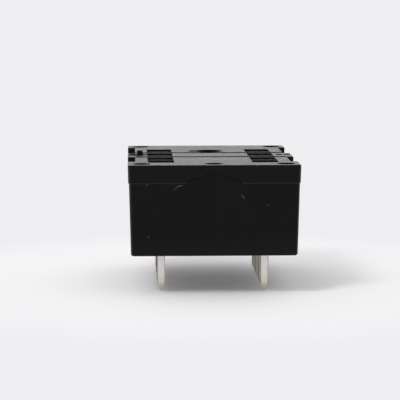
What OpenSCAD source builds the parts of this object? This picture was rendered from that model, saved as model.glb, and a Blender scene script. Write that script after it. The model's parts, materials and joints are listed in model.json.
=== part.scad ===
// Circuit-board socket for an eight-blade, two-pole plug-in relay.
// X runs across the two terminal columns. Y runs from the normally closed end
// at -Y to the coil end at +Y. Z is up. The origin is the middle of the
// underside, on the plane that sits on the circuit board.

/* [Body] */
// Width over the top of the cover, across the terminal columns
body_w = 21.6; // [21.2:0.1:26]
// Length over the top of the cover, along the terminal columns
body_l = 28.5; // [28:0.1:36]
// Height from the circuit board to the top face
body_h = 11.45; // [10:0.05:16]
// Draft of every outer side wall, in degrees
draft = 1.4; // [0:0.1:2.5]
// Radius of the upright corners
corner_r = 0.5; // [0.3:0.05:1]
// Rounding of the housing's bottom edge
foot_r = 0.3; // [0.1:0.05:0.6]
// Thickness of the end walls at the rim, and of the latch tongues
wall = 1.2; // [0.9:0.05:1.4]
// Thickness of the floor that the contacts stand on
floor_t = 1.5; // [1.2:0.1:2.5]
// Depth of the recess under the floor, which clears the solder joints
sole_depth = 0.4; // [0.2:0.05:0.7]
// Width of the land round that recess, which sits on the board
sole_land = 1.1; // [0.8:0.1:2]

/* [Terminals] */
// Distance between the two terminal columns
column_pitch = 13.2; // [12.8:0.1:13.6]
// Distance from the front edge of the cover to the normally closed row
first_row = 5.55; // [4.9:0.05:5.6]
// Distance from the normally closed row to the normally open row
nc_no_pitch = 4.1; // [4:0.1:4.6]
// Distance from the normally open row to the common row
no_common_pitch = 5.8; // [4.5:0.1:6.2]
// Distance from the common row to the coil row
common_coil_pitch = 5.8; // [4.5:0.1:6.2]
// Width of a contact chamber, across the terminal columns
chamber_w = 3.3; // [3:0.05:3.6]
// Length of a contact chamber, along the terminal columns
chamber_l = 3.2; // [3:0.05:3.4]
// Thickness of the wall between the chambers and the middle bay
bay_wall = 0.8; // [0.6:0.05:1.2]
// Thickness of the ribs across the middle bay
bay_rib = 0.9; // [0.6:0.05:1.4]
// Distance of each of those ribs from the middle of the body
bay_rib_y = 4.2; // [3:0.1:6]
// Height of those ribs above the floor
bay_rib_h = 1.5; // [0.5:0.1:3]

/* [Cover] */
// Thickness of the cover, which is the height of its side
cover_t = 2.35; // [2:0.05:3]
// Thickness of the cover over the middle bay
plate_t = 1.5; // [1.2:0.05:1.9]
// How far the cover stands out over the housing
cover_lip = 0.09; // [0:0.01:0.2]
// Rounding of the top edge of the cover
top_edge_r = 0.12; // [0.05:0.01:0.3]
// Chamfer on the lower edge of the cover
lower_chamfer = 0.1; // [0.05:0.01:0.2]
// Depth of the clip notches in the long sides
notch_depth = 0.96; // [0.5:0.02:1]
// Distance of the front clip notches from the normally closed end of the cover
front_notch_end = 4.85; // [3.6:0.05:6]
// Distance of the rear clip notches from the coil end of the cover
rear_notch_end = 3.55; // [3.5:0.05:6]
// Reach of the tab between the notches towards the normally closed end
tab_front = 2.95; // [2.5:0.05:3.2]
// Reach of that tab towards the coil end
tab_rear = 2.15; // [1.8:0.05:3.2]
// Half distance between the two cross grooves
groove_half = 2.95; // [2:0.05:3.6]
// How far the pair of cross grooves stands towards the coil end
groove_shift = 0.15; // [0:0.05:1]
// Width of a cross groove
groove_w = 1.2; // [0.5:0.05:1.3]
// Depth of a cross groove
groove_depth = 0.25; // [0.1:0.05:0.5]
// Diameter of the round well near the coil end
well_d = 3.8; // [3:0.1:3.9]
// Depth of the well, less than the thickness of the cover over the middle bay
well_depth = 0.9; // [0.5:0.05:1.3]
// Distance of the well from the middle of the body
well_y = 5.5; // [5.5:0.1:7]
// Diameter of the shallow relief beside the well
well_relief_d = 1.7; // [1:0.1:2]
// Depth of that relief
well_relief_depth = 0.15; // [0.05:0.05:0.4]

/* [Blade slots] */
// Width of a blade slot, along the terminal columns
slot_w = 2.1; // [1.4:0.05:2.2]
// How far the lead-in runs past the first slot
lead_in_l = 0.9; // [0.5:0.05:1.2]
// How far the ribs between the slots stay below the top face
crest_depth = 0.02; // [0.01:0.01:0.2]
// How far a rib falls from its crest to a slot
rib_fall = 0.06; // [0.04:0.01:0.4]

/* [Pegs and small holes] */
// Diameter of the pegs that hold the cover
peg_d = 2.2; // [1.6:0.1:2.4]
// Clearance round a peg
peg_gap = 0.05; // [0.02:0.01:0.12]
// Distance of the corner pegs from the sides of the cover
peg_side = 1.76; // [1.6:0.02:1.9]
// Distance of the pegs from the ends of the cover
peg_end = 1.95; // [1.85:0.05:2.3]
// How far a peg ends below the top face
peg_recess = 0.6; // [0.3:0.05:1.2]
// Width of the long spring hole in each tab
spring_hole_w = 0.8; // [0.5:0.05:0.9]
// Distance of the spring hole's middle from the edge of the tab
spring_hole_edge = 0.62; // [0.58:0.02:0.7]
// Width of the sunk gate mark in each tab
gate_mark_w = 0.9; // [0.6:0.05:1]
// Length of the spring holes and the gate marks
tab_mark_l = 1.5; // [1.1:0.05:2]
// How far they stand from the middle of the body, towards the coil end
tab_mark_y = 0.3; // [0:0.05:0.8]
// Depth of the gate mark
gate_mark_depth = 0.25; // [0.1:0.05:0.5]
// Distance of the gate mark's middle from the edge of the tab
gate_mark_edge = 1.6; // [1.6:0.02:1.75]
// Diameter of the gate stub that is left in the -X mark
gate_stub_d = 0.72; // [0.3:0.02:0.8]
// Height of the gate stub above the top face
gate_stub_h = 0.55; // [0.1:0.05:0.6]

/* [Latch arch] */
// Half width of the arch at the lower edge of the cover
arch_foot_half = 3.48; // [3.2:0.02:5]
// Half width at the arch's shoulders
arch_shoulder_half = 3.04; // [2.4:0.02:3.1]
// Height of the shoulders
arch_shoulder_h = 0.48; // [0.2:0.02:0.7]
// Half width at the foot of the raised middle
arch_knee_half = 1.37; // [1:0.02:2]
// Height at the foot of the raised middle
arch_knee_h = 0.86; // [0.72:0.02:1]
// Half width of the crown
arch_crown_half = 0.69; // [0.3:0.02:0.9]
// Height of the crown
arch_crown_h = 1.23; // [1.05:0.02:1.6]
// Clearance between a tongue and its arch
arch_gap = 0.04; // [0.02:0.01:0.1]

/* [Contacts] */
// Thickness of the contact strip
strip_t = 0.4; // [0.3:0.02:0.5]
// Width of the contact strip
strip_w = 2.6; // [2.2:0.05:2.8]
// Width of each spring leaf where it grips the blade
leaf_tip_w = 2; // [1.4:0.05:2.1]
// Half distance between the leaves' middles at the bottom
belly_half = 1.2; // [1:0.02:1.25]
// Radius of the bends at the bottom, to the middle of the strip
bend_r = 0.55; // [0.4:0.05:0.8]
// Free gap between the leaves where they grip the blade
throat_gap = 0.3; // [0.1:0.02:0.5]
// Distance from the mouth of the leaves down to the grip
throat_drop = 1.35; // [1:0.05:2]
// Half distance between the leaves' middles at the mouth
mouth_half = 0.98; // [0.7:0.02:1.1]
// Distance from the underside of the cover down to the mouth
mouth_drop = 0.35; // [0.2:0.05:1]
// How far the rounded grip reaches above and below the throat
grip_reach = 0.45; // [0.3:0.05:0.6]
// Corner cut off each leaf at the mouth
leaf_corner = 0.3; // [0.1:0.05:0.5]
// Width of a solder tail
tail_w = 1; // [0.8:0.05:1.4]
// Length of a solder tail below the board face
tail_l = 5.1; // [3:0.1:6]
// Length of the tail's pointed end
tip_l = 0.85; // [0.5:0.05:1.2]
// Width of the end of the point
tip_w = 0.3; // [0.15:0.05:0.5]
// Width of the tail's shoulder, inside the floor
shoulder_w = 1.6; // [1.5:0.05:2]
// Height over which the shoulder narrows to the tail
shoulder_fall = 0.2; // [0.1:0.05:0.5]
// Clearance of a tail in the floor
tail_gap = 0.05; // [0.03:0.01:0.15]

/* [Hidden] */
$fn = 48;

LEFT = -1;
RIGHT = 1;
black = [0.1, 0.1, 0.105];
tin = [0.8, 0.78, 0.73];
through = 1;       // how far a cutter runs past the face that it opens
corner_steps = 8;  // facets in a rounded upright corner
edge_steps = 3;    // facets in a rounded long edge
bend_steps = 6;    // facets in a bend of the contact strip
crown_steps = 8;   // facets in the crowned top of a rib
corner_keep = 0.2; // share of the corner radius that an inset level keeps at least
lean_share = 0.16; // share of the leaf's lean that falls within the grip
flare_share = 0.3; // share of the mouth's flare that falls within the grip

rim_z = body_h - cover_t;
column_x = column_pitch / 2;
nc_y = first_row - body_l / 2;
no_y = nc_y + nc_no_pitch;
common_y = no_y + no_common_pitch;
coil_y = common_y + common_coil_pitch;
rows = [nc_y, no_y, common_y, coil_y];
bay_half_w = column_x - chamber_w / 2 - bay_wall;
end_in = cover_lip + side_fall(rim_z) + wall; // from the end of the cover to the bay
bay_half_l = body_l / 2 - end_in;
peg_x = body_w / 2 - peg_side;
peg_y = body_l / 2 - peg_end;
pegs = [[-peg_x, -peg_y], [0, -peg_y], [peg_x, -peg_y], [-peg_x, peg_y], [peg_x, peg_y]];
peg_hole_d = peg_d + 2 * peg_gap;

// How far a drafted side has come in at height z, from its width at the top face
function side_fall(z) = (body_h - z) * tan(draft);

// One level of a drafted body: a rounded rectangle as points, all at height z
function level(w, l, r, z) = [
    for (corner = [[1, 1, 0], [-1, 1, 90], [-1, -1, 180], [1, -1, 270]])
        for (i = [0 : corner_steps])
            let (a = corner[2] + 90 * i / corner_steps)
            [corner[0] * (w / 2 - r) + r * cos(a), corner[1] * (l / 2 - r) + r * sin(a), z]
];

// A level of the body whose sides stand in by the draft and by a further inset
function body_level(z, inset) =
    let (in = side_fall(z) + inset)
    level(body_w - 2 * in, body_l - 2 * in, max(corner_r - inset, corner_r * corner_keep), z);

// The solid through a stack of levels that all have the same number of points
module loft(levels) {
    n = len(levels[0]);
    top = len(levels) - 1;
    polyhedron(
        points = [for (lev = levels) for (p = lev) p],
        faces = concat(
            [[for (i = [0 : n - 1]) i]],
            [for (k = [0 : top - 1]) for (i = [0 : n - 1])
                [k * n + i, (k + 1) * n + i, (k + 1) * n + (i + 1) % n, k * n + (i + 1) % n]],
            [[for (i = [n - 1 : -1 : 0]) top * n + i]]
        ),
        convexity = 4
    );
}

// A profile drawn as [y, z] points and drawn out along X, centred on x = 0
module along_x(width, points) {
    rotate([90, 0, 90])
        linear_extrude(height = width, center = true)
            polygon(points);
}

// A profile drawn as [x, z] points and drawn out along Y, centred on y = 0
module along_y(length, points) {
    rotate([90, 0, 0])
        linear_extrude(height = length, center = true)
            polygon(points);
}

// The outline of the latch arch as [x, z] points above z = 0, grown by a margin
function arch_outline(grow) =
    let (half = [
        [arch_foot_half, 0],
        [arch_shoulder_half, arch_shoulder_h],
        [arch_knee_half, arch_knee_h],
        [arch_crown_half, arch_crown_h]
    ])
    concat(
        [[half[0][0] + grow, -through]],
        [for (p = half) [p[0] + grow, p[1] + grow]],
        [for (i = [len(half) - 1 : -1 : 0]) [-half[i][0] - grow, half[i][1] + grow]],
        [[-half[0][0] - grow, -through]]
    );

// Both ends of the body, with the arch shape at the rim, from the outside in to depth
module arch_blocks(depth, grow) {
    for (end = [-1, 1])
        translate([0, end * (body_l / 2 - depth / 2 + through / 2), rim_z])
            along_y(depth + through, arch_outline(grow));
}

// ---- Cover ----

module cover_blank() {
    loft(concat(
        [body_level(rim_z, lower_chamfer), body_level(rim_z + lower_chamfer, 0)],
        [for (i = [0 : edge_steps])
            let (a = 90 * i / edge_steps)
            body_level(body_h - top_edge_r * (1 - sin(a)), top_edge_r * (1 - cos(a)))]
    ));
}

module clip_notches() {
    for (side = [LEFT, RIGHT])
        for (span = [[front_notch_end - body_l / 2, -tab_front], [tab_rear, body_l / 2 - rear_notch_end]])
            translate([
                side * (body_w / 2 - notch_depth / 2 + through / 2),
                (span[0] + span[1]) / 2,
                rim_z + cover_t / 2
            ])
                cube([notch_depth + through, span[1] - span[0], cover_t + 2 * through], center = true);
}

// Two shallow grooves across the top face, as far out as the notches reach in. They leave the
// ribs between the blade slots whole.
module cross_grooves() {
    difference() {
        for (end = [-1, 1])
            translate([0, groove_shift + end * groove_half, body_h + (through - groove_depth) / 2])
                cube([body_w - 2 * notch_depth, groove_w, groove_depth + through], center = true);
        for (side = [LEFT, RIGHT])
            translate([side * column_x, 0, body_h])
                cube([chamber_w, body_l, 4 * through], center = true);
    }
}

// The space over one column of blade slots: a lead-in before the first slot, then crowned ribs
// between the slots, up to the straight far wall of the last one
module blade_slots() {
    half = slot_w / 2;
    first = rows[0] - half;
    edge_z = body_h - crest_depth - rib_fall;
    far_z = [edge_z, edge_z, edge_z, body_h + through];
    slots = [for (i = [0 : len(rows) - 1])
        let (near = rows[i] - half, far = rows[i] + half)
        [[near, edge_z], [near, rim_z - through], [far, rim_z - through], [far, far_z[i]]]];
    ribs = [for (i = [0 : len(rows) - 2])
        let (from = rows[i] + half, to = rows[i + 1] - half)
        [for (k = [1 : crown_steps - 1])
            let (u = 2 * k / crown_steps - 1)
            [(from + to) / 2 + u * (to - from) / 2, body_h - crest_depth - rib_fall * u * u]]];
    profile = concat(
        [[first - lead_in_l, body_h + through], [first - lead_in_l, body_h - crest_depth]],
        slots[0],
        [for (i = [0 : len(ribs) - 1]) each concat(ribs[i], slots[i + 1])]
    );
    along_x(chamber_w, profile);
}

// A blind well, with a shallow round relief over its -X edge
module round_well() {
    translate([0, well_y, body_h - well_depth])
        cylinder(d = well_d, h = well_depth + through);
    translate([-well_d / 2, well_y, body_h - well_relief_depth])
        cylinder(d = well_relief_d, h = well_relief_depth + through);
}

// A hole with round ends, long in Y
module long_hole(w, l, h) {
    for (end = [-1, 1])
        translate([0, end * (l - w) / 2, 0])
            cylinder(d = w, h = h);
    translate([0, 0, h / 2])
        cube([w, l - w, h], center = true);
}

module tab_marks() {
    for (side = [LEFT, RIGHT]) {
        translate([side * (body_w / 2 - spring_hole_edge), tab_mark_y, rim_z - through])
            long_hole(spring_hole_w, tab_mark_l, cover_t + 2 * through);
        translate([side * (body_w / 2 - gate_mark_edge), tab_mark_y, body_h - gate_mark_depth])
            long_hole(gate_mark_w, tab_mark_l, gate_mark_depth + through);
    }
}

module cover() {
    color(black) {
        difference() {
            cover_blank();
            clip_notches();
            cross_grooves();
            for (side = [LEFT, RIGHT])
                translate([side * column_x, 0, 0])
                    blade_slots();
            for (p = pegs)
                translate([p[0], p[1], rim_z - through])
                    cylinder(d = peg_hole_d, h = cover_t + 2 * through);
            round_well();
            tab_marks();
            arch_blocks(end_in + arch_gap, arch_gap);
            // hollow under the middle of the plate, so that it is no thicker than the rest
            translate([0, 0, rim_z + (cover_t - plate_t) / 2 - through / 2])
                cube([
                    2 * (bay_half_w - bay_wall),
                    body_l - 2 * front_notch_end,
                    cover_t - plate_t + through
                ], center = true);
        }
        translate([LEFT * (body_w / 2 - gate_mark_edge), tab_mark_y, body_h - gate_mark_depth])
            cylinder(d = gate_stub_d, h = gate_mark_depth + gate_stub_h);
    }
}

// ---- Housing ----

module housing_blank() {
    top_z = rim_z + arch_crown_h;
    loft(concat(
        [for (i = [0 : edge_steps])
            let (a = 90 * i / edge_steps)
            body_level(foot_r * (1 - cos(a)), cover_lip + foot_r * (1 - sin(a)))],
        [body_level(top_z, cover_lip)]
    ));
}

// Everything above the rim but the two latch tongues
module above_rim() {
    difference() {
        translate([0, 0, rim_z + body_h / 2])
            cube([body_w + 2 * through, body_l + 2 * through, body_h], center = true);
        arch_blocks(end_in, 0);
    }
}

module chambers() {
    for (side = [LEFT, RIGHT])
        for (y = rows)
            translate([side * column_x, y, floor_t + body_h / 2])
                cube([chamber_w, chamber_l, body_h], center = true);
}

// Slots through the floor, each one as wide as the shoulder of its solder tail
module tail_slots() {
    for (side = [LEFT, RIGHT])
        for (y = rows)
            translate([side * column_x, y, floor_t / 2])
                cube([
                    shoulder_w + 2 * tail_gap,
                    strip_t + 2 * tail_gap,
                    floor_t + 2 * through
                ], center = true);
}

// The hollow middle between the two blocks of chambers, with two low cross ribs on its floor
module middle_bay() {
    difference() {
        translate([0, 0, floor_t + body_h / 2])
            cube([2 * bay_half_w, 2 * bay_half_l, body_h], center = true);
        for (end = [-1, 1])
            translate([0, end * bay_rib_y, (floor_t + bay_rib_h) / 2])
                cube([body_w, bay_rib, floor_t + bay_rib_h], center = true);
        // boss for the middle peg
        translate([0, -peg_y, 0])
            cylinder(d = peg_d + 2 * bay_wall, h = 2 * body_h);
        translate([0, -peg_y - (peg_d + 2 * bay_wall) / 2, body_h / 2])
            cube([peg_d + 2 * bay_wall, peg_d + 2 * bay_wall, body_h + 2 * floor_t], center = true);
    }
}

module sole_recess() {
    w = body_w - 2 * (cover_lip + side_fall(0) + sole_land);
    l = body_l - 2 * (cover_lip + side_fall(0) + sole_land);
    translate([0, 0, sole_depth / 2 - through / 2])
        cube([w, l, sole_depth + through], center = true);
}

module housing() {
    color(black) {
        difference() {
            housing_blank();
            above_rim();
            chambers();
            middle_bay();
            tail_slots();
            sole_recess();
        }
        for (p = pegs)
            translate([p[0], p[1], rim_z - wall])
                cylinder(d = peg_d, h = cover_t + wall - peg_recess);
    }
}

// ---- Contacts ----

function unit(v) = v / norm(v);

// The normal of the stretch from a to b, on its left
function left_of(a, b) = let (d = unit(b - a)) [-d[1], d[0]];

// The mitred normal at point i of a path
function mitre(path, i) =
    let (
        before = left_of(path[max(i - 1, 0)], path[max(i, 1)]),
        after = left_of(path[min(i, len(path) - 2)], path[min(i + 1, len(path) - 1)]),
        sum = before + after
    )
    2 * sum / (sum * sum);

// The outline of a strip of even thickness bent along a path
function strip(path, t) = concat(
    [for (i = [0 : len(path) - 1]) path[i] + mitre(path, i) * t / 2],
    [for (i = [len(path) - 1 : -1 : 0]) path[i] - mitre(path, i) * t / 2]
);

// The middle line of one half of the fork as [y, z], from the web up to the mouth
web_z = floor_t + strip_t / 2;
mouth_z = rim_z - mouth_drop;
throat_z = mouth_z - throat_drop;
throat_half = throat_gap / 2 + strip_t / 2;
half_fork = concat(
    [for (i = [0 : bend_steps])
        let (a = 90 * i / bend_steps - 90)
        [belly_half - bend_r + bend_r * cos(a), web_z + bend_r + bend_r * sin(a)]],
    // the grip is a round turn from the leaning leaf into the flared mouth
    [for (i = [0 : bend_steps])
        let (u = i / bend_steps * 2 - 1)
        [
            throat_half + (u < 0
                ? (belly_half - throat_half) * lean_share * u * u
                : (mouth_half - throat_half) * flare_share * u * u),
            throat_z + u * grip_reach
        ]],
    [[mouth_half, mouth_z]]
);
fork = concat(
    [for (i = [len(half_fork) - 1 : -1 : 0]) [-half_fork[i][0], half_fork[i][1]]],
    half_fork
);

// Front view of the fork: full width at the web, narrower at the grip, with cut corners
module leaf_outline() {
    w = strip_w / 2;
    t = leaf_tip_w / 2;
    cut = leaf_corner;
    along_y(chamber_l, [
        [-w, floor_t], [w, floor_t], [w, web_z + 2 * bend_r], [t, throat_z], [t, mouth_z - cut],
        [t - cut, mouth_z + strip_t], [-t + cut, mouth_z + strip_t], [-t, mouth_z - cut],
        [-t, throat_z], [-w, web_z + 2 * bend_r]
    ]);
}

// The solder tail, from its shoulder in the floor to its pointed end
module tail() {
    half = tail_w / 2;
    shoulder = shoulder_w / 2;
    tip = tip_w / 2;
    step_z = sole_depth;
    intersection() {
        along_y(strip_t, [
            [-shoulder, web_z], [-shoulder, step_z + shoulder_fall],
            [-half, step_z], [-half, tip_l - tail_l], [-tip, -tail_l],
            [tip, -tail_l], [half, tip_l - tail_l], [half, step_z],
            [shoulder, step_z + shoulder_fall], [shoulder, web_z]
        ]);
        // the point is also pressed thinner than the strip
        along_x(shoulder_w, [
            [-strip_t / 2, web_z], [-strip_t / 2, tip_l - tail_l], [-strip_t / 4, -tail_l],
            [strip_t / 4, -tail_l], [strip_t / 2, tip_l - tail_l], [strip_t / 2, web_z]
        ]);
    }
}

module contact(side, y) {
    color(tin)
        translate([side * column_x, y, 0]) {
            intersection() {
                along_x(strip_w, strip(fork, strip_t));
                leaf_outline();
            }
            tail();
        }
}

module contact_nc_left() { contact(LEFT, nc_y); }
module contact_nc_right() { contact(RIGHT, nc_y); }
module contact_no_left() { contact(LEFT, no_y); }
module contact_no_right() { contact(RIGHT, no_y); }
module contact_common_left() { contact(LEFT, common_y); }
module contact_common_right() { contact(RIGHT, common_y); }
module contact_coil_left() { contact(LEFT, coil_y); }
module contact_coil_right() { contact(RIGHT, coil_y); }

cover();
housing();
contact_nc_left();
contact_nc_right();
contact_no_left();
contact_no_right();
contact_common_left();
contact_common_right();
contact_coil_left();
contact_coil_right();
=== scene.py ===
# %% [markdown]
# # A circuit-board relay socket
#
# The object is a low black block, 21.6 mm by 28.5 mm, that a plug-in relay presses into. It is
# two black mouldings, a cover and a housing, with eight stamped contacts between them. The
# contacts' solder tails reach out below, and the block stands on them.
#
# Every solid piece comes from the CAD model and stays where it is. This lesson gives each one
# its finish, adds the small marks of handling, and lights the part as a product picture is lit.

# %% Load the frame
import json
import math

import bmesh
import bpy
from mathutils import Matrix, Vector


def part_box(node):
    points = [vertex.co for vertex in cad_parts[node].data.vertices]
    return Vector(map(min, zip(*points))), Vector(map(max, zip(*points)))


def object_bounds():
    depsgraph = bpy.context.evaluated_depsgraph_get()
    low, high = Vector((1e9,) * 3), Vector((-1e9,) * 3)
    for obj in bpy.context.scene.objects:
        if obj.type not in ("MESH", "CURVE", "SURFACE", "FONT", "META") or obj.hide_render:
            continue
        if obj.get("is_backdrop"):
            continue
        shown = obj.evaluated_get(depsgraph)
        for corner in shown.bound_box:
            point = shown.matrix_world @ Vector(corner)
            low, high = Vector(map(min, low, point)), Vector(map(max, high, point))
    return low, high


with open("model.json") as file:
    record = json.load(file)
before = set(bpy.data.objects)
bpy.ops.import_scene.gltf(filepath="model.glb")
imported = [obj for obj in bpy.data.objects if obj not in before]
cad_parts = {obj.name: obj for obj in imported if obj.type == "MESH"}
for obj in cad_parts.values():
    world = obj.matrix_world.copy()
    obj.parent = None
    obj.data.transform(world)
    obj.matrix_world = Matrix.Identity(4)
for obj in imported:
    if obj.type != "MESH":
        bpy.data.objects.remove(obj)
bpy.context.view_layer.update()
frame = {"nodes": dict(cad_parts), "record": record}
record = frame["record"]
print("pieces in the frame:", ", ".join(sorted(frame["nodes"])))

# %% [markdown]
# ## Measures
#
# The main heights and ends are read from the model, so they follow it if its sizes change. The
# seat that the relay rests on gives the top face. The cover's box gives the front end and the
# collar's lower edge, and the lowest point of a solder tail gives the surface that the socket
# stands on.

# %% Measures
MM = 0.001
cover_low, cover_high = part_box("cover")
housing_low, housing_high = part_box("housing")
tail_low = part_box("contact_nc_left")[0]
seat = next(mount for mount in record["mounts"] if mount["name"] == "relay_seat")

top_z = seat["pos_m"][2]
collar_z = cover_low.z
front_y = cover_low.y
floor_z = tail_low.z
print(f"top face {top_z / MM:.2f} mm up, collar edge {collar_z / MM:.2f}, floor {floor_z / MM:.2f}")

# %% [markdown]
# ## Camera
#
# A small part is best shown from several times its own length away, through a long lens, so
# that its upright edges stay nearly parallel. The camera stands 0.22 m in front of the narrow
# end, a little to the left of the middle and a little above the top face, and looks slightly
# down. A constraint to a target empty would aim it too, but two plain angles are easier to read
# back.

# %% Camera
LENS_LENGTH = 159.83
SENSOR_WIDTH = 36.0
CAMERA_ASIDE = -10.3 * MM
CAMERA_BACK = -232.96 * MM
CAMERA_ABOVE_TOP = 21.32 * MM
CAMERA_PITCH = math.radians(6.684)
CAMERA_TURN = math.radians(2.215)

camera_data = bpy.data.cameras.new("product_camera")
camera_data.lens = LENS_LENGTH
camera_data.sensor_width = SENSOR_WIDTH
camera_data.clip_start = 0.01
camera_data.clip_end = 10.0
camera = bpy.data.objects.new("product_camera", camera_data)
bpy.context.scene.collection.objects.link(camera)

camera.location = (CAMERA_ASIDE, CAMERA_BACK, top_z + CAMERA_ABOVE_TOP)
camera.rotation_euler = (math.radians(90) - CAMERA_PITCH, 0, -CAMERA_TURN)
bpy.context.scene.camera = camera
print("camera stands", round((camera.location - Vector((0, front_y, top_z))).length, 3), "m away")

# %% [markdown]
# ## Materials: one helper for node graphs
#
# A material is a small graph. Each helper below adds a node, or a few, and returns the socket
# that the next one reads, so a material can be written as some nested calls. Patterns read Object
# coordinates, because every piece has its origin at the part's origin and isn't scaled, so a
# millimetre of pattern is a millimetre of the part. A noise lies mostly between 0.3 and 0.7: a
# ramp over a band in the middle of that range gives soft clouds, and one near 0.8 leaves only
# specks.

# %% Node helpers
STROKE_CORE = 0.4
WIDE_BAND = (0.25, 0.75)
MIDDLE_BAND = (0.3, 0.7)
NARROW_BAND = (0.35, 0.65)


class Graph:
    """A material's node tree, with short calls that add nodes and link them."""

    def __init__(self, name):
        self.material = bpy.data.materials.new(name)
        self.material.use_nodes = True
        self.tree = self.material.node_tree
        self.tree.nodes.clear()
        self.shader = self.tree.nodes.new("ShaderNodeBsdfPrincipled")
        self.output = self.tree.nodes.new("ShaderNodeOutputMaterial")
        self.tree.links.new(self.shader.outputs["BSDF"], self.output.inputs["Surface"])
        self.place = self.tree.nodes.new("ShaderNodeTexCoord").outputs["Object"]

    def link(self, value, socket):
        """Links a socket, or sets a plain value."""
        if isinstance(value, bpy.types.NodeSocket):
            self.tree.links.new(value, socket)
        else:
            socket.default_value = value

    def math(self, operation, a, b=0.0, clamp=False):
        node = self.tree.nodes.new("ShaderNodeMath")
        node.operation = operation
        node.use_clamp = clamp
        self.link(a, node.inputs[0])
        self.link(b, node.inputs[1])
        return node.outputs[0]

    def noise(self, size, detail=2.0, roughness=0.5, place=None):
        """Soft random pattern with features of about the given size, in metres."""
        node = self.tree.nodes.new("ShaderNodeTexNoise")
        self.link(place or self.place, node.inputs["Vector"])
        node.inputs["Scale"].default_value = 1.0 / size
        node.inputs["Detail"].default_value = detail
        node.inputs["Roughness"].default_value = roughness
        return node.outputs["Fac"]

    def ramp(self, value, low, high, to_low=0.0, to_high=1.0):
        """Maps low..high onto to_low..to_high, and holds the ends."""
        node = self.tree.nodes.new("ShaderNodeMapRange")
        node.clamp = True
        self.link(value, node.inputs["Value"])
        for name, number in (
            ("From Min", low), ("From Max", high), ("To Min", to_low), ("To Max", to_high)
        ):
            self.link(number, node.inputs[name])
        return node.outputs["Result"]

    def mix(self, factor, a, b):
        """Blends two colours."""
        node = self.tree.nodes.new("ShaderNodeMix")
        node.data_type = "RGBA"
        self.link(factor, node.inputs["Factor"])
        self.link(a, node.inputs["A"])
        self.link(b, node.inputs["B"])
        return node.outputs["Result"]

    def axis(self, name):
        """One coordinate of the place, in metres."""
        node = self.tree.nodes.new("ShaderNodeSeparateXYZ")
        self.link(self.place, node.inputs["Vector"])
        return node.outputs[name]

    def stretched(self, scale):
        """The place scaled along its axes; a scale under 1 draws a pattern out along that axis."""
        node = self.tree.nodes.new("ShaderNodeMapping")
        node.inputs["Scale"].default_value = scale
        self.link(self.place, node.inputs["Vector"])
        return node.outputs["Vector"]

    def bump(self, height, depth, after=None):
        """A bump whose full height is depth, in metres."""
        node = self.tree.nodes.new("ShaderNodeBump")
        node.inputs["Strength"].default_value = 1.0
        node.inputs["Distance"].default_value = depth
        self.link(height, node.inputs["Height"])
        if after is not None:
            self.link(after, node.inputs["Normal"])
        return node.outputs["Normal"]

    def both(self, first, *others):
        """Where all the masks hold."""
        for other in others:
            first = self.math("MULTIPLY", first, other)
        return first

    def either(self, first, *others):
        """Where any of the masks holds."""
        for other in others:
            first = self.math("MAXIMUM", first, other)
        return first

    def within(self, value, low, high, soft):
        """1 between low and high, with soft borders."""
        return self.both(
            self.ramp(value, low - soft, low + soft),
            self.ramp(value, high - soft, high + soft, 1.0, 0.0),
        )

    def length(self, a, b):
        """The length of a line that goes a one way and b square to it."""
        squares = self.math("ADD", self.math("MULTIPLY", a, a), self.math("MULTIPLY", b, b))
        return self.math("SQRT", squares)

    def stroke(self, start, end, half_width):
        """1 near the line from start to end, both (x, z), and fading to 0 at half_width."""
        reach = Vector((end[0] - start[0], end[1] - start[1]))
        aside = self.math("SUBTRACT", self.axis("X"), start[0])
        above = self.math("SUBTRACT", self.axis("Z"), start[1])
        run = self.math("MULTIPLY", aside, reach[0])
        rise = self.math("MULTIPLY", above, reach[1])
        share = self.math("DIVIDE", self.math("ADD", run, rise), reach.length_squared, clamp=True)
        off_x = self.math("SUBTRACT", aside, self.math("MULTIPLY", share, reach[0]))
        off_z = self.math("SUBTRACT", above, self.math("MULTIPLY", share, reach[1]))
        away = self.length(off_x, off_z)
        return self.ramp(away, half_width * STROKE_CORE, half_width, 1.0, 0.0)


def rgb(red, green, blue):
    return (red, green, blue, 1.0)


print("node helpers ready")

# %% [markdown]
# ## The black mouldings
#
# Sockets of this kind are moulded in black glass-filled plastic. The tool's walls are often
# spark-eroded, which leaves a fine even grain. A black part shows its finish almost only by what it
# mirrors, so roughness and grain matter more than the colour. Noises of several sizes vary the tone and
# the roughness, as flow marks do, and fine specks of dust and pale scuffs break the black up. The helper
# takes masks from outside, so that each moulding can have rougher places of its own, and pale marks that
# are partly real scuffs and partly painted highlights on edges.

# %% Black moulding
DUST = rgb(0.25, 0.25, 0.24)
# Colour of the pale marks: real scuffs and scratches, and also the painted highlights on edges and
# corners.
SCUFF_AND_HIGHLIGHT = rgb(0.11, 0.11, 0.11)
PLASTIC_IOR = 1.45
PLASTIC_SHINE = 0.11
FLOW_SIZE = 6 * MM
CLOUD_SIZE = 1.1 * MM
COARSE_SIZE = 0.45 * MM
GRIT_SIZE = 0.3 * MM
DUST_SIZE = 0.22 * MM
GRAIN_SIZE = 0.14 * MM
TONE_SWING = 0.2
BLUE_LEAN = 1.03
DRIFT_SWING = 0.04
GRIT_SWING = 0.06
COARSE_SWING = 0.12
CLOUD_RELIEF = 2
SPECK_BAND = (0.80, 0.86)
DUSTY_BAND = (0.45, 0.7)
DUST_COVER = 0.25
DUST_DULLING = 0.2


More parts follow.
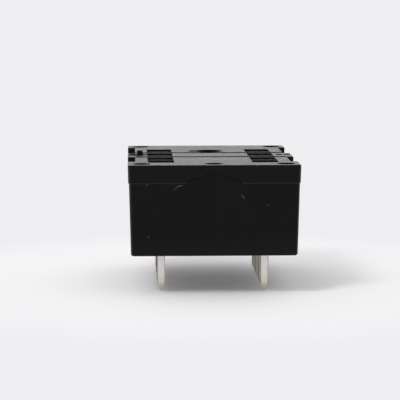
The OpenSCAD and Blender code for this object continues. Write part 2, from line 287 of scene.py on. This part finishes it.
def moulded_black(name, tone, roughness, grain, rough_mask=None, rough_value=0.0, marks_and_highlights=None):
    """Black moulded plastic; grain is the depth of the spark-eroded texture, in metres."""
    g = Graph(name)
    flow = g.noise(FLOW_SIZE, detail=3.0)
    fine = g.noise(GRAIN_SIZE, detail=2.0, roughness=0.6)
    cloud = g.noise(CLOUD_SIZE, detail=3.0, roughness=0.6)
    specks = g.ramp(g.noise(DUST_SIZE, detail=1.0), *SPECK_BAND)
    dusty = g.both(specks, g.ramp(cloud, *DUSTY_BAND))
    low = tone * (1 - TONE_SWING)
    high = tone * (1 + TONE_SWING)
    base = g.mix(flow, rgb(low, low, low * BLUE_LEAN), rgb(high, high, high))
    base = g.mix(g.both(dusty, DUST_COVER), base, DUST)
    drift = g.ramp(cloud, *WIDE_BAND, roughness - DRIFT_SWING, roughness + DRIFT_SWING)
    gritty = g.noise(GRIT_SIZE, detail=2.0, roughness=0.7)
    grit = g.ramp(gritty, *NARROW_BAND, -GRIT_SWING, GRIT_SWING)
    rough = g.math("ADD", g.math("ADD", drift, grit), g.both(dusty, DUST_DULLING))
    if rough_mask is not None:
        mask = rough_mask(g)
        patches = g.noise(COARSE_SIZE, detail=3.0, roughness=0.7)
        spread = g.ramp(patches, *NARROW_BAND, -COARSE_SWING, COARSE_SWING)
        coarse = g.math("ADD", spread, rough_value)
        rough = g.math("ADD", g.both(mask, coarse), g.both(g.math("SUBTRACT", 1.0, mask), rough))
    # The marks are partly real scuffs and partly painted highlights on edges and corners.
    if marks_and_highlights is not None:
        base = g.mix(marks_and_highlights(g), base, SCUFF_AND_HIGHLIGHT)
    g.link(base, g.shader.inputs["Base Color"])
    g.link(rough, g.shader.inputs["Roughness"])
    g.shader.inputs["IOR"].default_value = PLASTIC_IOR
    g.shader.inputs["Specular IOR Level"].default_value = PLASTIC_SHINE
    surface = g.bump(fine, grain, g.bump(cloud, grain * CLOUD_RELIEF))
    g.link(surface, g.shader.inputs["Normal"])
    return g.material


print("moulding helper ready")

# %% [markdown]
# ## The cover's own marks
#
# The lowered ribs between the blade slots are much duller than the top face, as they are where a tool is
# cut by another method. The mask is a plain box round each column of slots, placed from the contacts
# below it. One tab has a round patch of grime with a ragged border. The collar's lower edge and its
# upright corners get a thin pale line, which is a painted highlight: the light that a rounded edge would
# catch.

# %% Cover finish
DRAFT = math.tan(math.radians(1.4))
CORNER_LINE = 0.14 * MM
SLOT_REACH = 1.05 * MM
LEAD_IN = 0.9 * MM
POCKET_HALF_WIDTH = 1.65 * MM
DIRT_X = -9.6 * MM
DIRT_Y = 0.3 * MM
DIRT_HALF_WIDTH = 1.5 * MM
DIRT_HALF_LENGTH = 1.9 * MM
DIRT_GRAIN = 0.5 * MM
DIRT_RAGGED = 0.35
DIRT_EDGE = (0.75, 1.05)
BORDER = 0.02 * MM
EDGE_LINE = 0.11 * MM
# How strong the painted highlight on edges and corners is.
HIGHLIGHT_STRENGTH = 0.2
FRONT_SOLID = 0.6 * MM
FRONT_END = 0.8 * MM
nc_low, nc_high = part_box("contact_nc_right")
coil_low, coil_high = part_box("contact_coil_right")
column_x = (nc_low.x + nc_high.x) / 2
pocket_front = (nc_low.y + nc_high.y) / 2 - SLOT_REACH - LEAD_IN
pocket_back = (coil_low.y + coil_high.y) / 2 + SLOT_REACH


def from_column(g):
    """How far a place lies to the side of the nearer column of contacts."""
    return g.math("ABSOLUTE", g.math("SUBTRACT", g.math("ABSOLUTE", g.axis("X")), column_x))


def slot_pockets(g):
    """The lowered ribs: a box round each of the two columns of slots."""
    aside = from_column(g)
    return g.both(
        g.ramp(aside, POCKET_HALF_WIDTH - BORDER, POCKET_HALF_WIDTH + BORDER, 1.0, 0.0),
        g.within(g.axis("Y"), pocket_front, pocket_back, BORDER),
    )


def on_front(g):
    """1 on the front wall and just behind it, where the marks and painted highlights belong."""
    return g.ramp(g.axis("Y"), front_y + FRONT_SOLID, front_y + FRONT_END, 1.0, 0.0)


def below_top(x, depth):
    """A point of the front wall as (x, z); both numbers are in mm, depth from the top face."""
    return (x * MM, top_z - depth * MM)


def tab_dirt(g):
    """Dull grime on the -X tab, with a ragged border."""
    aside = g.math("DIVIDE", g.math("SUBTRACT", g.axis("X"), DIRT_X), DIRT_HALF_WIDTH)
    along = g.math("DIVIDE", g.math("SUBTRACT", g.axis("Y"), DIRT_Y), DIRT_HALF_LENGTH)
    away = g.length(aside, along)
    bays = g.ramp(g.noise(DIRT_GRAIN, detail=3.0), *MIDDLE_BAND, -DIRT_RAGGED, DIRT_RAGGED)
    return g.ramp(g.math("ADD", away, bays), *DIRT_EDGE, 1.0, 0.0)


def dull_places(g):
    """All places of the cover that take the rough finish."""
    return g.either(slot_pockets(g), tab_dirt(g))


def corner_highlights(g, half_width):
    """Painted highlights on the upright corners at both ends of the front, which follow the wall's
    draft.
    """
    fall = g.both(g.math("SUBTRACT", top_z, g.axis("Z")), DRAFT)
    reach = g.math("ADD", g.math("ABSOLUTE", g.axis("X")), fall)
    return g.ramp(reach, half_width - 2 * CORNER_LINE, half_width - CORNER_LINE)


def cover_edge_highlights(g):
    """Painted highlights along the collar's lower edge and its upright corners."""
    painted_edge = g.within(g.axis("Z"), collar_z - BORDER, collar_z + EDGE_LINE, BORDER)
    corners = corner_highlights(g, cover_high.x)
    return g.both(on_front(g), g.either(g.both(painted_edge, HIGHLIGHT_STRENGTH), g.both(corners, HIGHLIGHT_STRENGTH)))


cover_black = moulded_black(
    "moulded_cover_black", tone=0.0035, roughness=0.43, grain=0.0032 * MM,
    rough_mask=dull_places, rough_value=0.90, marks_and_highlights=cover_edge_highlights,
)
print(f"slot pockets from y {pocket_front / MM:.2f} to {pocket_back / MM:.2f} mm")

# %% [markdown]
# ## The housing's own marks
#
# The smooth front wall shows what handling has left: a curved scratch, a short one that bends a
# little, and a few specks of lint. Each is made of soft strokes between points of the wall, so it
# can be moved by its numbers: mm to the side, mm below the top face, and how strong it is.
# They are hair-thin, so they have to be fairly pale to show at all. The wall is also a touch paler
# towards its lower edge, and its upright corners get a thin pale line of painted highlight.

# %% Housing finish
SCRATCHES = [
    ((-5.07, 3.13), (-4.84, 2.84), 0.30),
    ((-4.84, 2.84), (-4.58, 2.64), 0.55),
    ((-4.58, 2.64), (-4.22, 2.56), 1.0),
    ((-4.22, 2.56), (-3.96, 2.58), 0.45),
    ((3.30, 3.72), (3.56, 4.02), 0.8),
    ((3.56, 4.02), (3.68, 4.19), 1.0),
]
SPECKS = [(-8.41, 2.43, 1.0), (-7.87, 1.93, 0.5), (6.68, 5.05, 0.8), (-8.25, 9.00, 1.0)]
SCRATCH_HALF_WIDTH = 0.05 * MM
SPECK_RADIUS = 0.075 * MM
SPECK_LENGTH = 0.02
FOOT_PALENESS = 0.025
FOOT_SOLID = 0.15 * MM
FOOT_END = 2.4 * MM


def housing_marks_and_highlights(g):
    """Scratches, lint, the paler foot of the wall and painted highlights on its corners."""
    strokes = [
        g.both(g.stroke(below_top(*start), below_top(*end), SCRATCH_HALF_WIDTH), strength)
        for start, end, strength in SCRATCHES
    ]
    specks = [
        g.both(g.stroke(below_top(x, depth), below_top(x + SPECK_LENGTH, depth), SPECK_RADIUS), strength)
        for x, depth, strength in SPECKS
    ]
    foot_from = housing_low.z + FOOT_SOLID
    foot = g.ramp(g.axis("Z"), foot_from, housing_low.z + FOOT_END, FOOT_PALENESS, 0.0)
    # The pale corner lines are a painted highlight.
    corners = g.both(corner_highlights(g, housing_high.x + DRAFT * (top_z - collar_z)), HIGHLIGHT_STRENGTH)
    return g.both(on_front(g), g.either(*strokes, *specks, foot, corners))


housing_black = moulded_black(
    "moulded_housing_black", tone=0.0028, roughness=0.42, grain=0.0015 * MM, marks_and_highlights=housing_marks_and_highlights,
)
print("black mouldings:", cover_black.name, housing_black.name)

# %% [markdown]
# ## The tinned contact strip
#
# Contacts like these are stamped from thin strip and tin plated. Tin is a soft satin metal: it mirrors
# its surroundings as a pale blur, with faint lines along the strip from rolling and small dull patches
# where it was handled. A dark band along the strip's long edges is painted shade, where the contacts
# shade one another. The points are yellower, and a few dark flecks stand for dirt and flux. How pale the
# plate is comes in as one number, so that the rows deeper under the body can be given painted shade.

# %% Tinned strip
TAIL_HALF_WIDTH = 0.5 * MM
# The dark band along the strip's long edges is painted shade, where the contacts shade one another.
EDGE_BAND = 0.13 * MM
EDGE_SOFT_SHARE = 0.3
EDGE_DARKNESS = (0.55, 0.9)
EDGE_SHADE_CLOUD_BAND = (0.3, 0.6)
YELLOW_POINT = 2.2 * MM
PATCH_SIZE = 0.5 * MM
PATCH_DEPTH = 0.006 * MM
ROLLING_SIZE = 0.08 * MM
ROLLING_DEPTH = 0.003 * MM
ROLLING_STRETCH = (1.0, 1.0, 0.06)
FLECK_SIZE = 0.16 * MM
FLECK_BAND = (0.76, 0.82)
FLECK_STRENGTH = 0.6
TIN_SMOOTH = 0.3
TIN_ROUGH = 0.44
DULL_TIN = (0.64, 0.62, 0.59)
BRIGHT_TIN = (0.80, 0.78, 0.75)
# One dark colour for the painted shade on the edges and for real flecks of dirt and flux.
SHADE_AND_FLECK = rgb(0.16, 0.145, 0.125)
YELLOW_TIN = rgb(0.62, 0.59, 0.47)


def tinned(name, tone):
    """Tin plate; tone scales how pale it is, and a tone under 1 is painted shade."""
    g = Graph(name)
    cloud = g.noise(PATCH_SIZE, detail=3.0, roughness=0.6)
    rolled = g.noise(ROLLING_SIZE, detail=2.0, place=g.stretched(ROLLING_STRETCH))
    tip = g.ramp(g.axis("Z"), floor_z, floor_z + YELLOW_POINT, 1.0, 0.0)
    dull = rgb(*(part * tone for part in DULL_TIN))
    bright = rgb(*(part * tone for part in BRIGHT_TIN))
    plate = g.mix(tip, g.mix(cloud, dull, bright), YELLOW_TIN)
    edge_solid = TAIL_HALF_WIDTH - EDGE_SOFT_SHARE * EDGE_BAND
    painted_edge = g.ramp(from_column(g), TAIL_HALF_WIDTH - EDGE_BAND, edge_solid)
    flecks = g.ramp(g.noise(FLECK_SIZE, detail=1.0), *FLECK_BAND)
    # Painted shade along the edges, uneven along their length; the flecks are real dirt.
    uneven_edge_shade = g.both(painted_edge, g.ramp(cloud, *EDGE_SHADE_CLOUD_BAND, *EDGE_DARKNESS))
    shade_and_flecks = g.either(uneven_edge_shade, g.both(flecks, FLECK_STRENGTH))
    g.link(g.mix(shade_and_flecks, plate, SHADE_AND_FLECK), g.shader.inputs["Base Color"])
    g.shader.inputs["Metallic"].default_value = 1.0
    g.link(g.ramp(cloud, *MIDDLE_BAND, TIN_SMOOTH, TIN_ROUGH), g.shader.inputs["Roughness"])
    surface = g.bump(rolled, ROLLING_DEPTH, g.bump(cloud, PATCH_DEPTH))
    g.link(surface, g.shader.inputs["Normal"])
    return g.material


front_tin = tinned("tin_plate_front", 1.0)
# The rear rows' darker tin is painted shade, for the shade under the body.
shaded_rear_tin = tinned("tin_plate_rear_shaded", 0.6)
print("tin plate:", front_tin.name, shaded_rear_tin.name)

# %% [markdown]
# ## Dress the pieces
#
# A material is put on a piece by filling its first material slot. The front row of contacts, at the
# normally closed end, gets the pale tin. The rows behind stand deeper in the shade under the body, so
# they get a darker copy of the same tin: painted shade.

# %% Dress the CAD pieces
def dress(node, material):
    """Gives a CAD piece one material and no other."""
    piece = frame["nodes"][node]
    piece.data.materials.clear()
    piece.data.materials.append(material)


dress("cover", cover_black)
dress("housing", housing_black)
for node in sorted(frame["nodes"]):
    if node.startswith("contact_"):
        dress(node, front_tin if node.startswith("contact_nc_") else shaded_rear_tin)
print("dressed", len(frame["nodes"]), "pieces")

# %% [markdown]
# ## Floor
#
# The part stands on a white table that seems to have no end. It is one round sheet, made with
# the circle operator. Under the part it is plain matt white and takes the shadow. Between 15 and
# 46 mm from the origin it fades into the flat glowing white of the backdrop, so no line shows
# between table and wall. The price is that the far part of the shadow grows weaker.

# %% White table
TABLE_RADIUS = 2.5
TABLE_SEGMENTS = 96
TABLE_WHITE = rgb(0.88, 0.872, 0.878)
TABLE_ROUGHNESS = 0.9
TABLE_SHINE = 0.05
FADE_FROM = 0.015
FADE_TO = 0.046
BACKDROP_WHITE = rgb(0.862, 0.852, 0.872)

table_mesh = bpy.data.meshes.new("white_table")
bm = bmesh.new()
bmesh.ops.create_circle(
    bm, cap_ends=True, segments=TABLE_SEGMENTS, radius=TABLE_RADIUS,
    matrix=Matrix.Translation((0, 0, floor_z)),
)
bm.to_mesh(table_mesh)
bm.free()
table = bpy.data.objects.new("white_table", table_mesh)
bpy.context.scene.collection.objects.link(table)
table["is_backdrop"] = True

g = Graph("table_white")
g.shader.inputs["Base Color"].default_value = TABLE_WHITE
g.shader.inputs["Roughness"].default_value = TABLE_ROUGHNESS
g.shader.inputs["Specular IOR Level"].default_value = TABLE_SHINE
glow = g.tree.nodes.new("ShaderNodeEmission")
glow.inputs["Color"].default_value = BACKDROP_WHITE
blend = g.tree.nodes.new("ShaderNodeMixShader")
reach = g.tree.nodes.new("ShaderNodeVectorMath")
reach.operation = "LENGTH"
g.tree.links.new(g.place, reach.inputs[0])
g.link(g.ramp(reach.outputs["Value"], FADE_FROM, FADE_TO), blend.inputs["Fac"])
g.tree.links.new(g.shader.outputs["BSDF"], blend.inputs[1])
g.tree.links.new(glow.outputs["Emission"], blend.inputs[2])
g.tree.links.new(blend.outputs["Shader"], g.output.inputs["Surface"])
table.data.materials.append(g.material)
print("table radius", TABLE_RADIUS, "m, fading from", FADE_FROM, "to", FADE_TO, "m")

# %% [markdown]
# ## Tent light
#
# A light tent is white all round, so a glossy black part mirrors pale walls from every side. The
# world stands in for the tent. The wall behind the part is 2.2 times as bright as the one in
# front, because the top face is seen at a low angle and mirrors just that wall: its pale sheen
# comes from there. The roof is dimmer. Where one gives way to the next is a coordinate of the
# direction, whose length is 1. Only the camera's own rays see the flat backdrop instead.
# With Is Glossy Ray added to that switch, the part would mirror the backdrop, which is not as
# bright as the wall, and the top face would come out darker.

# %% Tent light
FRONT_WALL = 1.0
BACK_WALL = 2.2
TENT_ROOF = 0.7
FRONT_WALL_TO = -0.2
BACK_WALL_FROM = 0.6
WALLS_TO = 0.2
ROOF_FROM = 0.75
TENT_TINT = rgb(1.0, 0.988, 0.994)

world = bpy.data.worlds.new("light_tent")
bpy.context.scene.world = world
world.use_nodes = True
tent = world.node_tree
tent.nodes.clear()


def tent_node(kind, **inputs):
    """Adds a node and fills its named inputs with sockets or plain values."""
    node = tent.nodes.new(kind)
    for name, value in inputs.items():
        socket = node.inputs[name.replace("_", " ")]
        if isinstance(value, bpy.types.NodeSocket):
            tent.links.new(value, socket)
        else:
            socket.default_value = value
    return node


around = tent_node("ShaderNodeTexCoord").outputs["Generated"]
direction = tent_node("ShaderNodeSeparateXYZ", Vector=around)
walls = tent_node(
    "ShaderNodeMapRange", Value=direction.outputs["Y"],
    From_Min=FRONT_WALL_TO, From_Max=BACK_WALL_FROM, To_Min=FRONT_WALL, To_Max=BACK_WALL,
).outputs["Result"]
walls_and_roof = tent_node(
    "ShaderNodeMapRange", Value=direction.outputs["Z"],
    From_Min=WALLS_TO, From_Max=ROOF_FROM, To_Min=walls, To_Max=TENT_ROOF,
).outputs["Result"]
tent_light = tent_node("ShaderNodeBackground", Color=TENT_TINT, Strength=walls_and_roof)
backdrop = tent_node("ShaderNodeBackground", Color=BACKDROP_WHITE, Strength=1.0)
camera_ray = tent_node("ShaderNodeLightPath").outputs["Is Camera Ray"]
seen = tent_node("ShaderNodeMixShader", Fac=camera_ray)
tent.links.new(tent_light.outputs["Background"], seen.inputs[1])
tent.links.new(backdrop.outputs["Background"], seen.inputs[2])
tent_node("ShaderNodeOutputWorld", Surface=seen.outputs["Shader"])
print("tent walls", FRONT_WALL, "in front and", BACK_WALL, "behind, roof", TENT_ROOF)

# %% [markdown]
# ## Key light
#
# One round softbox stands in front of the part, well to its left and fairly high. It casts the
# shadow under the body. The shadow's front edge tells how high the lamp stands, because the
# body's lower edge is as far above the table as the solder tails are long. A wide lamp would
# wash that edge out.

# %% Key light
KEY_DISTANCE = 1.2
KEY_WIDTH = 0.36
KEY_HEIGHT = math.radians(44)
KEY_SIDE = math.radians(42)
KEY_POWER = 5.4

key_data = bpy.data.lights.new("key_softbox", type="AREA")
key_data.shape = "DISK"
key_data.size = KEY_WIDTH
key_data.energy = KEY_POWER
key = bpy.data.objects.new("key_softbox", key_data)
bpy.context.scene.collection.objects.link(key)
to_key = Vector((
    -math.sin(KEY_SIDE) * math.cos(KEY_HEIGHT),
    -math.cos(KEY_SIDE) * math.cos(KEY_HEIGHT),
    math.sin(KEY_HEIGHT),
))
key.location = to_key * KEY_DISTANCE
key.rotation_euler = to_key.to_track_quat("Z", "Y").to_euler()
print("key light", KEY_DISTANCE, "m away,", KEY_POWER, "W")

# %% [markdown]
# ## Finish
#
# The dressed part is measured once more and its size is printed. The Standard view transform shows a
# colour as it is written.

# %% Finish
final_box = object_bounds()

final_size = [round((high - low) / MM, 2) for low, high in zip(*final_box)]
print("final size in mm:", final_size)

bpy.context.scene.view_settings.view_transform = "Standard"
